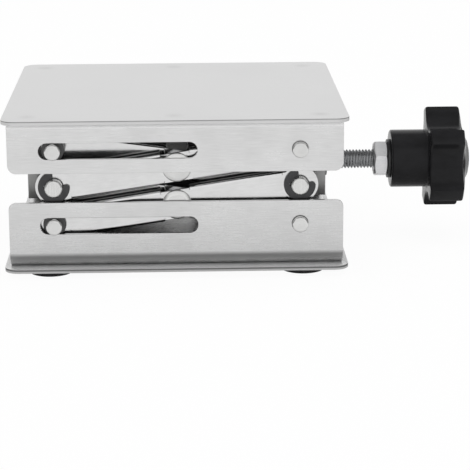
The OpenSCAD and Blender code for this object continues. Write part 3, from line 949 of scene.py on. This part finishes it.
def nut_shape():
    """Hexagon nut: the radius at an angle is that of the hexagon, and a cone cuts its
    corners, so the shoulder of each corner stands where cone and hexagon meet."""
    low, high = corners("lock_nut")
    at, flats = middle("lock_nut"), size("nut_flats") / 2
    bore = corners("lead_screw")[1][1]
    turn = np.linspace(0, 2 * math.pi, 121)
    corner = turn - math.radians(NUT_TURN)
    hexagon = flats / np.cos(np.mod(corner, math.pi / 3) - math.pi / 6)
    fall = 0.12 + 0.4 * (hexagon - flats)
    zero = 0 * turn
    start, end = low[0], high[0]
    rows = [(start + 0.35, bore), (start, bore + 0.4), (start, flats - 0.35), (start + fall, hexagon),
            (end - fall, hexagon), (end, flats - 0.35), (end, bore + 0.4), (end - 0.35, bore),
            (start + 0.35, bore)]
    grid = np.stack([np.stack([along + zero, at[1] + radius * np.cos(turn),
                               at[2] + radius * np.sin(turn)], -1) for along, radius in rows])
    return closed((grid, grid[..., :2]))


LOBE_TURN, NUT_TURN = 72.4, 42.0   # first lobe and first corner, from +Y towards +Z


def lobed_outline(turn):
    """Radius of the knob's star: the outer circle and five round grooves, blended by a
    soft minimum that rounds the corners of the lobes."""
    radius, lobes = size("knob_radius"), 5
    groove = 3 * radius / lobes
    at = radius * 0.68 + groove
    first = math.radians(LOBE_TURN)
    pitch = 2 * math.pi / lobes
    off = np.abs(np.mod(turn - first, pitch) - pitch / 2)
    limit = math.asin(groove / at) * 0.985
    inside = np.minimum(off, limit)
    near = at * np.cos(inside) - np.sqrt(groove ** 2 - (at * np.sin(inside)) ** 2)
    near += 30 * np.maximum(off - limit, 0)
    firm = 4.0
    return -np.logaddexp(-firm * radius, -firm * near) / firm


def knob_shape():
    """Star knob: at each station along the screw the radius goes from a circle to the
    star outline less an inset, share telling how far."""
    low, high = corners("hand_knob")
    at = middle("lock_nut")
    hub, start = size("hub_radius"), low[0]
    back, front = 78.0, 88.4
    turn = np.linspace(0, 2 * math.pi, 481)
    star = lobed_outline(turn)
    stations = [
        # along, share of the star, radius of the circle, inset of the star
        (start + 9.8, 0, 0, 0), (start + 9.8, 0, 4.52, 0), (start + 0.3, 0, 4.52, 0),
        (start + 0.05, 0, 4.8, 0), (start, 0, 5.2, 0), (start, 0, hub - 0.7, 0),
        (start + 0.06, 0, hub - 0.35, 0), (start + 0.22, 0, hub - 0.12, 0),
        (start + 0.5, 0, hub, 0), (back - 0.7, 0, hub, 0), (back - 0.3, 0, hub + 0.08, 0),
        (back - 0.08, 0, hub + 0.3, 0), (back, 0, hub + 0.7, 0),
        (back, 1, 0, 0.9), (back + 0.06, 1, 0, 0.5), (back + 0.22, 1, 0, 0.2),
        (back + 0.55, 1, 0, 0.03), (back + 1.0, 1, 0, 0), (front - 0.75, 1, 0, 0),
        (front - 0.4, 1, 0, 0.08), (front - 0.15, 1, 0, 0.28), (front, 1, 0, 0.6),
        (front + 0.1, 1, 0, 1.0), (front + 0.55, 0.5, 9.6, 1.2),
        (front + 1.0, 0, 8.8, 0), (front + 1.4, 0, 7.2, 0), (high[0] - 0.12, 0, 5.6, 0),
        (high[0], 0, 5.0, 0), (high[0], 0, 4.25, 0), (high[0] - 0.2, 0, 4.05, 0),
        (high[0] - 0.9, 0, 4.02, 0), (high[0] - 0.9, 0, 0, 0),
    ]
    along, share, circle, inset = np.array(stations).T[:, :, None]
    radius = (1 - share) * circle + share * (star - inset)
    grid = np.stack(np.broadcast_arrays(
        along, at[1] + radius * np.cos(turn), at[2] + radius * np.sin(turn)), -1)
    return closed((grid, grid[..., 1:]))


def cap_shape():
    """Snap-in cap: shallow dome with a rounded rim on a short plug."""
    low, high = corners("knob_cap")
    at, radius = middle("knob_cap"), (high[1] - low[1]) / 2
    outline = fillet([(low[0], 0), (low[0], radius, 0.1), (high[0] - 0.12, radius, 0.22),
                      (high[0] - 0.02, radius * 0.5), (high[0], 0)])
    return closed(turned(outline, at * (0, 1, 1), 0))


def insert_shape():
    """Flanged threaded insert: thin washer face on a sleeve."""
    low, high = corners("threaded_insert")
    at, bore = middle("lock_nut"), corners("lead_screw")[1][1]
    face = low[0] + 1.0
    outline = fillet([(low[0], bore), (low[0], 6.0, 0.2), (face, 6.0, 0.15), (face, 4.5),
                      (high[0], 4.5, 0.2), (high[0], bore), (low[0], bore)])
    return closed(turned(outline, at * (0, 1, 1), 0))


def pin_shapes():
    """Two slotted-pin bodies across the collars, with rounded ends."""
    low, high = corners("collar_pins")
    shells = []
    for collar in ("inner_thrust_collar", "outer_thrust_collar"):
        at = middle(collar)
        outline = fillet([(low[2], 0), (low[2], 0.75, 0.2), (high[2], 0.75, 0.2), (high[2], 0)])
        shells.append(turned(outline, (at[0], at[1], 0), 2, 32))
    return closed(*shells)


def foot_shape(node):
    """Rubber foot: round pad with soft rims, a stem through the sheets and a snap head."""
    low, high = corners(node)
    at, radius = middle(node), (high[0] - low[0]) / 2
    stem_top = corners("base_plate")[1][2] + size("sheet")
    outline = fillet([
        (low[2] + 0.25, 0), (low[2] + 0.25, radius - 3.2, 0.2), (low[2], radius - 2.6, 0.2),
        (low[2], radius - 0.12, 0.08), (low[2] + 0.2, radius, 0.1), (0, radius - 0.05, 0.05), (0, 2.0),
        (stem_top, 2.0), (stem_top, 3.2, 0.15), (high[2], 2.2, 0.25), (high[2], 0)])
    return closed(turned(outline, at * (1, 1, 0), 2))


# ---- operators ----

class JACK_OT_stage(bpy.types.Operator):
    """Studio: pale floor, soft surroundings, overhead lamp and camera"""
    bl_idname = "jack.stage"
    bl_label = "Stage"

    def execute(self, context):
        scene = context.scene
        scene.view_settings.view_transform = "Standard"
        scene.cycles.max_bounces = 16
        scene.cycles.glossy_bounces = 10
        self.floor()
        self.surroundings(scene)
        self.lamp(scene)
        self.camera(scene)
        return {"FINISHED"}

    def floor(self):
        """Large level sheet under the feet; it shows white where it is fully lit."""
        level = corners("front_left_foot")[0][2] * MM
        mesh = bpy.data.meshes.new("Floor")
        half = 6.0
        mesh.from_pydata([(-half, -half, level), (half, -half, level),
                          (half, half, level), (-half, half, level)], [], [(0, 1, 2, 3)])
        material, tree = new_material("paper_matt_white")
        ray = add_node(tree, "ShaderNodeLightPath").outputs
        glossy = add_node(tree, "ShaderNodeMath", {
            0: ray["Is Glossy Ray"], 1: ray["Is Transmission Ray"]}, operation="ADD").outputs[0]
        direct = add_node(tree, "ShaderNodeMath", {
            0: ray["Is Camera Ray"], 1: 0.95}, operation="MULTIPLY").outputs[0]
        share = sum_of(tree, direct, glossy, 0.25)
        paper = add_node(tree, "ShaderNodeBsdfDiffuse", {"Color": colour("floor")})
        white = add_node(tree, "ShaderNodeEmission", {"Color": (1, 1, 1, 1), "Strength": 1.0})
        both = add_node(tree, "ShaderNodeMixShader", {
            0: share, 1: paper.outputs[0], 2: white.outputs[0]})
        add_node(tree, "ShaderNodeOutputMaterial", {"Surface": both.outputs[0]})
        mesh.materials.append(material)
        floor = bpy.data.objects.new("Floor", mesh)
        bpy.context.scene.collection.objects.link(floor)

    def surroundings(self, scene):
        """White room from below the horizon to well above it, with a dim ceiling."""
        world = bpy.data.worlds.new("Studio")
        scene.world = world
        world.use_nodes = True
        tree = world.node_tree
        tree.nodes.clear()
        where = add_node(tree, "ShaderNodeTexCoord").outputs["Generated"]
        split = add_node(tree, "ShaderNodeSeparateXYZ", {0: where})
        room = add_node(tree, "ShaderNodeValToRGB", {0: split.outputs[2]})
        self.fill(room.color_ramp, (
            (0.0, 1.0), (0.3, 1.0), (0.72, 0.95), (0.84, 0.22), (0.93, 0.3), (1.0, 0.42)))
        sideways = add_node(tree, "ShaderNodeMath", {0: split.outputs[0]}, operation="ABSOLUTE")
        share = spread(tree, sideways.outputs[0], 0.0, 0.7, 0.5, 0.85)
        walls = blend_colours(tree, share, room.outputs[0], (0.0, 0.0, 0.0, 1.0))
        light = add_node(tree, "ShaderNodeBackground", {"Color": walls, "Strength": 1.0})
        add_node(tree, "ShaderNodeOutputWorld", {"Surface": light.outputs[0]})

    def fill(self, ramp, stops):
        """Sets a ramp's grey stops."""
        for place, grey in stops[1:-1]:
            ramp.elements.new(place).color = (grey, grey, grey, 1)
        for element, (place, grey) in ((ramp.elements[0], stops[0]), (ramp.elements[-1], stops[-1])):
            element.position = place
            element.color = (grey, grey, grey, 1)

    def lamp(self, scene):
        """A wide overhead softbox, a little behind the object."""
        lamp = bpy.data.lights.new("Overhead", "AREA")
        lamp.shape = "SQUARE"
        lamp.size = 1.3
        lamp.energy = 9.0
        holder = bpy.data.objects.new("Overhead", lamp)
        holder.location = (0.0, 0.0, 1.2)
        holder.visible_glossy = False
        scene.collection.objects.link(holder)

    def camera(self, scene):
        """Long lens, level with the front, looking slightly down."""
        yaw, pitch, roll = (math.radians(v) for v in (1.583, 14.386, -0.326))
        forward = np.array([math.sin(yaw) * math.cos(pitch), math.cos(yaw) * math.cos(pitch),
                            -math.sin(pitch)])
        level = np.array([math.cos(yaw), -math.sin(yaw), 0.0])
        up = np.cross(level, forward)
        right = math.cos(roll) * level + math.sin(roll) * up
        top = -math.sin(roll) * level + math.cos(roll) * up
        lens = bpy.data.cameras.new("Camera")
        lens.lens = 149.6
        lens.sensor_width = 36.0
        lens.clip_start = 0.05
        holder = bpy.data.objects.new("Camera", lens)
        turn = Matrix(np.stack([right, top, -forward], 1).tolist()).to_4x4()
        holder.matrix_world = Matrix.Translation((0.00174, -0.5961, 0.151)) @ turn
        scene.collection.objects.link(holder)
        scene.camera = holder


class JACK_OT_plates(bpy.types.Operator):
    """Top plate and base plate"""
    bl_idname = "jack.plates"
    bl_label = "Plates"

    def execute(self, context):
        for node, holes, finish in (
                ("top_plate", False, plate_finish), ("base_plate", True, base_finish)):
            add_piece(node + "_sheet", [node], plate_shape(node, holes), finish(), size("rim"))
        return {"FINISHED"}


class JACK_OT_channels(bpy.types.Operator):
    """Upper and lower channel"""
    bl_idname = "jack.channels"
    bl_label = "Channels"

    def execute(self, context):
        add_piece("lower_channel_sheet", ["lower_channel"], channel_shape(
            "lower_channel", ("lower_slide_rod", "lower_fixed_rod"), size("lower_bend"),
            size("lower_flange_corner"), 1, True), lower_channel_finish(), size("channel_rim"))
        add_piece("upper_channel_sheet", ["upper_channel"], channel_shape(
            "upper_channel", ("upper_slide_rod", "upper_fixed_rod"), size("upper_bend"),
            size("upper_flange_corner"), -1, False), channel_finish(), size("channel_rim"))
        return {"FINISHED"}


class JACK_OT_links(bpy.types.Operator):
    """The eight pressed links of the two X stages"""
    bl_idname = "jack.links"
    bl_label = "Links"

    def execute(self, context):
        for stage, inner_rod, outer_rod in (
                ("lower", "lower_fixed_rod", "lower_slide_rod"),
                ("upper", "upper_slide_rod", "upper_fixed_rod")):
            for layer, rod in (("inner", inner_rod), ("outer", outer_rod)):
                for side in ("front", "rear"):
                    node = f"{stage}_{layer}_{side}_arm"
                    shape = link_shape(node, f"{stage}_{side}_rivet", rod, side == "rear")
                    add_piece(f"{stage}_{layer}_{side}_link", [node], shape, link_finish(), 0.1)
        return {"FINISHED"}


class JACK_OT_cross_rods(bpy.types.Operator):
    """The four cross rods"""
    bl_idname = "jack.cross_rods"
    bl_label = "Cross rods"

    def execute(self, context):
        for node in ("lower_fixed_rod", "lower_slide_rod", "upper_fixed_rod", "upper_slide_rod"):
            add_piece(node + "_turned", [node], rod_shape(node), rod_finish())
        return {"FINISHED"}


class JACK_OT_rivets(bpy.types.Operator):
    """The centre rivets of the X stages"""
    bl_idname = "jack.rivets"
    bl_label = "Rivets"

    def execute(self, context):
        for stage in ("lower", "upper"):
            for side in ("front", "rear"):
                node = f"{stage}_{side}_rivet"
                add_piece(node + "_headed", [node], rivet_shape(node, side == "rear"), turned_finish())
        return {"FINISHED"}


class JACK_OT_spacers(bpy.types.Operator):
    """Rings between the inner and outer links"""
    bl_idname = "jack.spacers"
    bl_label = "Spacers"

    def execute(self, context):
        for node, bore in (("lower_rivet_spacers", 2.57), ("upper_rivet_spacers", 2.57),
                           ("left_bar_spacers", 2.62), ("right_bar_spacers", 2.62)):
            add_piece(node + "_rings", [node], rings_shape(node, bore), zinc_finish())
        return {"FINISHED"}


class JACK_OT_cross_bars(bpy.types.Operator):
    """The two middle cross bars with their drilled blocks"""
    bl_idname = "jack.cross_bars"
    bl_label = "Cross bars"

    def execute(self, context):
        for node in ("left_cross_bar", "right_cross_bar"):
            finish_piece(node + "_milled", merged_copy(node), [node], milled_finish(), 0.15, 40, 2)
        return {"FINISHED"}


class JACK_OT_clips(bpy.types.Operator):
    """Spring clips on the cross bar journals"""
    bl_idname = "jack.clips"
    bl_label = "Clips"

    def execute(self, context):
        for side in ("left", "right"):
            for end in ("front", "rear"):
                node = f"{side}_{end}_clip"
                shape = clip_shape(node, f"{side}_bar_spacers")
                add_piece(node + "_spring", [node], shape, oxide_finish(), 0.1, segments=2)
        return {"FINISHED"}


class JACK_OT_lead_screw(bpy.types.Operator):
    """Lead screw with its helical thread"""
    bl_idname = "jack.lead_screw"
    bl_label = "Lead screw"

    def execute(self, context):
        add_piece("lead_screw_threaded", ["lead_screw"], screw_shape(), thread_finish(), crease=32)
        return {"FINISHED"}


class JACK_OT_collars(bpy.types.Operator):
    """Thrust collars and their pins"""
    bl_idname = "jack.collars"
    bl_label = "Collars"

    def execute(self, context):
        for node in ("inner_thrust_collar", "outer_thrust_collar"):
            finish_piece(node + "_drilled", merged_copy(node), [node], milled_finish(), 0.12, 40, 2)
        add_piece("collar_pins_pressed", ["collar_pins"], pin_shapes(), zinc_finish())
        return {"FINISHED"}


class JACK_OT_lock_nut(bpy.types.Operator):
    """Lock nut against the knob"""
    bl_idname = "jack.lock_nut"
    bl_label = "Lock nut"

    def execute(self, context):
        add_piece("lock_nut_hexagon", ["lock_nut"], nut_shape(), zinc_finish(), 0.1, 24, 2)
        return {"FINISHED"}


class JACK_OT_knob(bpy.types.Operator):
    """Star knob, its threaded insert and its cap"""
    bl_idname = "jack.knob"
    bl_label = "Knob"

    def execute(self, context):
        add_piece("threaded_insert_flanged", ["threaded_insert"], insert_shape(), oxide_finish())
        add_piece("hand_knob_moulded", ["hand_knob"], knob_shape(), phenolic_finish())
        add_piece("knob_cap_moulded", ["knob_cap"], cap_shape(), phenolic_finish())
        return {"FINISHED"}


class JACK_OT_feet(bpy.types.Operator):
    """The four rubber feet"""
    bl_idname = "jack.feet"
    bl_label = "Feet"

    def execute(self, context):
        for end in ("front", "rear"):
            for side in ("left", "right"):
                node = f"{end}_{side}_foot"
                add_piece(node + "_moulded", [node], foot_shape(node), rubber_finish())
        return {"FINISHED"}


STEPS = (
    JACK_OT_stage, JACK_OT_plates, JACK_OT_channels, JACK_OT_links, JACK_OT_cross_rods,
    JACK_OT_rivets, JACK_OT_spacers, JACK_OT_cross_bars, JACK_OT_clips, JACK_OT_lead_screw,
    JACK_OT_collars, JACK_OT_lock_nut, JACK_OT_knob, JACK_OT_feet,
)


class JACK_PT_panel(bpy.types.Panel):
    """Sidebar panel with a button for every step"""
    bl_label = "Lab Jack"
    bl_idname = "JACK_PT_panel"
    bl_space_type = "VIEW_3D"
    bl_region_type = "UI"
    bl_category = "Lab Jack"

    def draw(self, context):
        for group in (context.scene.jack_sizes, context.scene.jack_finishes):
            for name in group.__annotations__:
                self.layout.prop(group, name)
        for step in STEPS:
            self.layout.operator(step.bl_idname)


CLASSES = (JackSizes, JackFinishes, *STEPS, JACK_PT_panel)


def register():
    """Registers the classes and their settings."""
    for made in CLASSES:
        bpy.utils.register_class(made)
    bpy.types.Scene.jack_sizes = bpy.props.PointerProperty(type=JackSizes)
    bpy.types.Scene.jack_finishes = bpy.props.PointerProperty(type=JackFinishes)


def unregister():
    """Takes the settings and classes away again."""
    del bpy.types.Scene.jack_finishes
    del bpy.types.Scene.jack_sizes
    for made in reversed(CLASSES):
        bpy.utils.unregister_class(made)


def main():
    """Builds the stage and every piece."""
    register()
    for step in STEPS:
        group, name = step.bl_idname.split(".")
        getattr(getattr(bpy.ops, group), name)()


if __name__ == "__main__":
    main()
